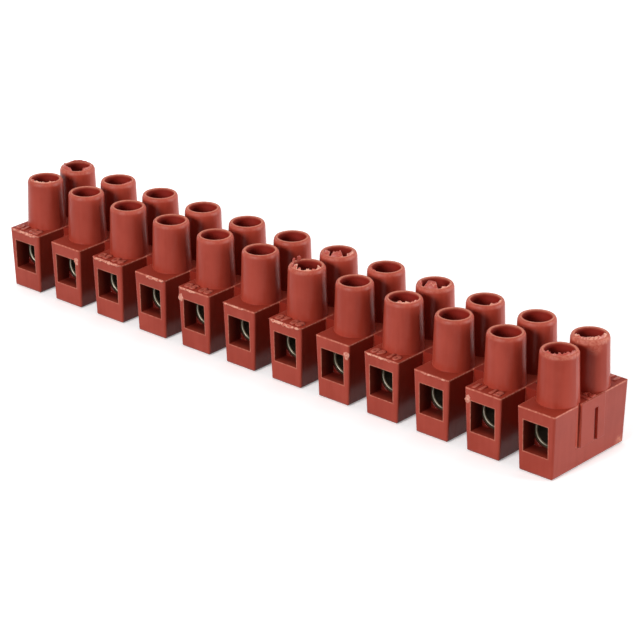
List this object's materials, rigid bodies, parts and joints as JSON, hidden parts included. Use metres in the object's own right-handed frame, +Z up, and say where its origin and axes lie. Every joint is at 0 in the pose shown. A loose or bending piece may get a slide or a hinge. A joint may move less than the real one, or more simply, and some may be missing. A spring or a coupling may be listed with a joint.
{
  "type": "screw terminal strip",
  "caption": "Moulded terminal strip: a row of poles joined by webs, each with a through metal sleeve for wires and two slotted clamp screws in round towers.",
  "frame": {"origin": "middle of the strip's footprint, on the plane of the pole bases", "axes": "+X along the strip, -Y the front with the narrower wire mouths, +Z up through the screw towers"},
  "size_m": [0.1172, 0.0184, 0.019],
  "materials": {
    "red_plastic": "satin moulded brick-red plastic",
    "sleeve_metal": "dull plated brass",
    "screw_steel": "zinc-plated steel"
  },
  "bodies": {
    "strip": {"housing": "red_plastic", "sleeve_01": "sleeve_metal", "sleeve_02": "sleeve_metal", "sleeve_03": "sleeve_metal", "sleeve_04": "sleeve_metal", "sleeve_05": "sleeve_metal", "sleeve_06": "sleeve_metal", "sleeve_07": "sleeve_metal", "sleeve_08": "sleeve_metal", "sleeve_09": "sleeve_metal", "sleeve_10": "sleeve_metal", "sleeve_11": "sleeve_metal", "sleeve_12": "sleeve_metal"},
    "front_screw_01": {"screw_front_01": "screw_steel"},
    "front_screw_02": {"screw_front_02": "screw_steel"},
    "front_screw_03": {"screw_front_03": "screw_steel"},
    "front_screw_04": {"screw_front_04": "screw_steel"},
    "front_screw_05": {"screw_front_05": "screw_steel"},
    "front_screw_06": {"screw_front_06": "screw_steel"},
    "front_screw_07": {"screw_front_07": "screw_steel"},
    "front_screw_08": {"screw_front_08": "screw_steel"},
    "front_screw_09": {"screw_front_09": "screw_steel"},
    "front_screw_10": {"screw_front_10": "screw_steel"},
    "front_screw_11": {"screw_front_11": "screw_steel"},
    "front_screw_12": {"screw_front_12": "screw_steel"},
    "rear_screw_01": {"screw_rear_01": "screw_steel"},
    "rear_screw_02": {"screw_rear_02": "screw_steel"},
    "rear_screw_03": {"screw_rear_03": "screw_steel"},
    "rear_screw_04": {"screw_rear_04": "screw_steel"},
    "rear_screw_05": {"screw_rear_05": "screw_steel"},
    "rear_screw_06": {"screw_rear_06": "screw_steel"},
    "rear_screw_07": {"screw_rear_07": "screw_steel"},
    "rear_screw_08": {"screw_rear_08": "screw_steel"},
    "rear_screw_09": {"screw_rear_09": "screw_steel"},
    "rear_screw_10": {"screw_rear_10": "screw_steel"},
    "rear_screw_11": {"screw_rear_11": "screw_steel"},
    "rear_screw_12": {"screw_rear_12": "screw_steel"}
  },
  "joints": [
    {"name": "front_clamp_01", "type": "slide", "parent": "strip", "child": "front_screw_01", "axis": [0, 0, 1], "range_m": [-0.0036, 0]},
    {"name": "front_clamp_02", "type": "slide", "parent": "strip", "child": "front_screw_02", "axis": [0, 0, 1], "range_m": [-0.0036, 0]},
    {"name": "front_clamp_03", "type": "slide", "parent": "strip", "child": "front_screw_03", "axis": [0, 0, 1], "range_m": [-0.0036, 0]},
    {"name": "front_clamp_04", "type": "slide", "parent": "strip", "child": "front_screw_04", "axis": [0, 0, 1], "range_m": [-0.0036, 0]},
    {"name": "front_clamp_05", "type": "slide", "parent": "strip", "child": "front_screw_05", "axis": [0, 0, 1], "range_m": [-0.0036, 0]},
    {"name": "front_clamp_06", "type": "slide", "parent": "strip", "child": "front_screw_06", "axis": [0, 0, 1], "range_m": [-0.0036, 0]},
    {"name": "front_clamp_07", "type": "slide", "parent": "strip", "child": "front_screw_07", "axis": [0, 0, 1], "range_m": [-0.0036, 0]},
    {"name": "front_clamp_08", "type": "slide", "parent": "strip", "child": "front_screw_08", "axis": [0, 0, 1], "range_m": [-0.0036, 0]},
    {"name": "front_clamp_09", "type": "slide", "parent": "strip", "child": "front_screw_09", "axis": [0, 0, 1], "range_m": [-0.0036, 0]},
    {"name": "front_clamp_10", "type": "slide", "parent": "strip", "child": "front_screw_10", "axis": [0, 0, 1], "range_m": [-0.0036, 0]},
    {"name": "front_clamp_11", "type": "slide", "parent": "strip", "child": "front_screw_11", "axis": [0, 0, 1], "range_m": [-0.0036, 0]},
    {"name": "front_clamp_12", "type": "slide", "parent": "strip", "child": "front_screw_12", "axis": [0, 0, 1], "range_m": [-0.0036, 0]},
    {"name": "rear_clamp_01", "type": "slide", "parent": "strip", "child": "rear_screw_01", "axis": [0, 0, 1], "range_m": [-0.0036, 0]},
    {"name": "rear_clamp_02", "type": "slide", "parent": "strip", "child": "rear_screw_02", "axis": [0, 0, 1], "range_m": [-0.0036, 0]},
    {"name": "rear_clamp_03", "type": "slide", "parent": "strip", "child": "rear_screw_03", "axis": [0, 0, 1], "range_m": [-0.0036, 0]},
    {"name": "rear_clamp_04", "type": "slide", "parent": "strip", "child": "rear_screw_04", "axis": [0, 0, 1], "range_m": [-0.0036, 0]},
    {"name": "rear_clamp_05", "type": "slide", "parent": "strip", "child": "rear_screw_05", "axis": [0, 0, 1], "range_m": [-0.0036, 0]},
    {"name": "rear_clamp_06", "type": "slide", "parent": "strip", "child": "rear_screw_06", "axis": [0, 0, 1], "range_m": [-0.0036, 0]},
    {"name": "rear_clamp_07", "type": "slide", "parent": "strip", "child": "rear_screw_07", "axis": [0, 0, 1], "range_m": [-0.0036, 0]},
    {"name": "rear_clamp_08", "type": "slide", "parent": "strip", "child": "rear_screw_08", "axis": [0, 0, 1], "range_m": [-0.0036, 0]},
    {"name": "rear_clamp_09", "type": "slide", "parent": "strip", "child": "rear_screw_09", "axis": [0, 0, 1], "range_m": [-0.0036, 0]},
    {"name": "rear_clamp_10", "type": "slide", "parent": "strip", "child": "rear_screw_10", "axis": [0, 0, 1], "range_m": [-0.0036, 0]},
    {"name": "rear_clamp_11", "type": "slide", "parent": "strip", "child": "rear_screw_11", "axis": [0, 0, 1], "range_m": [-0.0036, 0]},
    {"name": "rear_clamp_12", "type": "slide", "parent": "strip", "child": "rear_screw_12", "axis": [0, 0, 1], "range_m": [-0.0036, 0]}
  ]
}
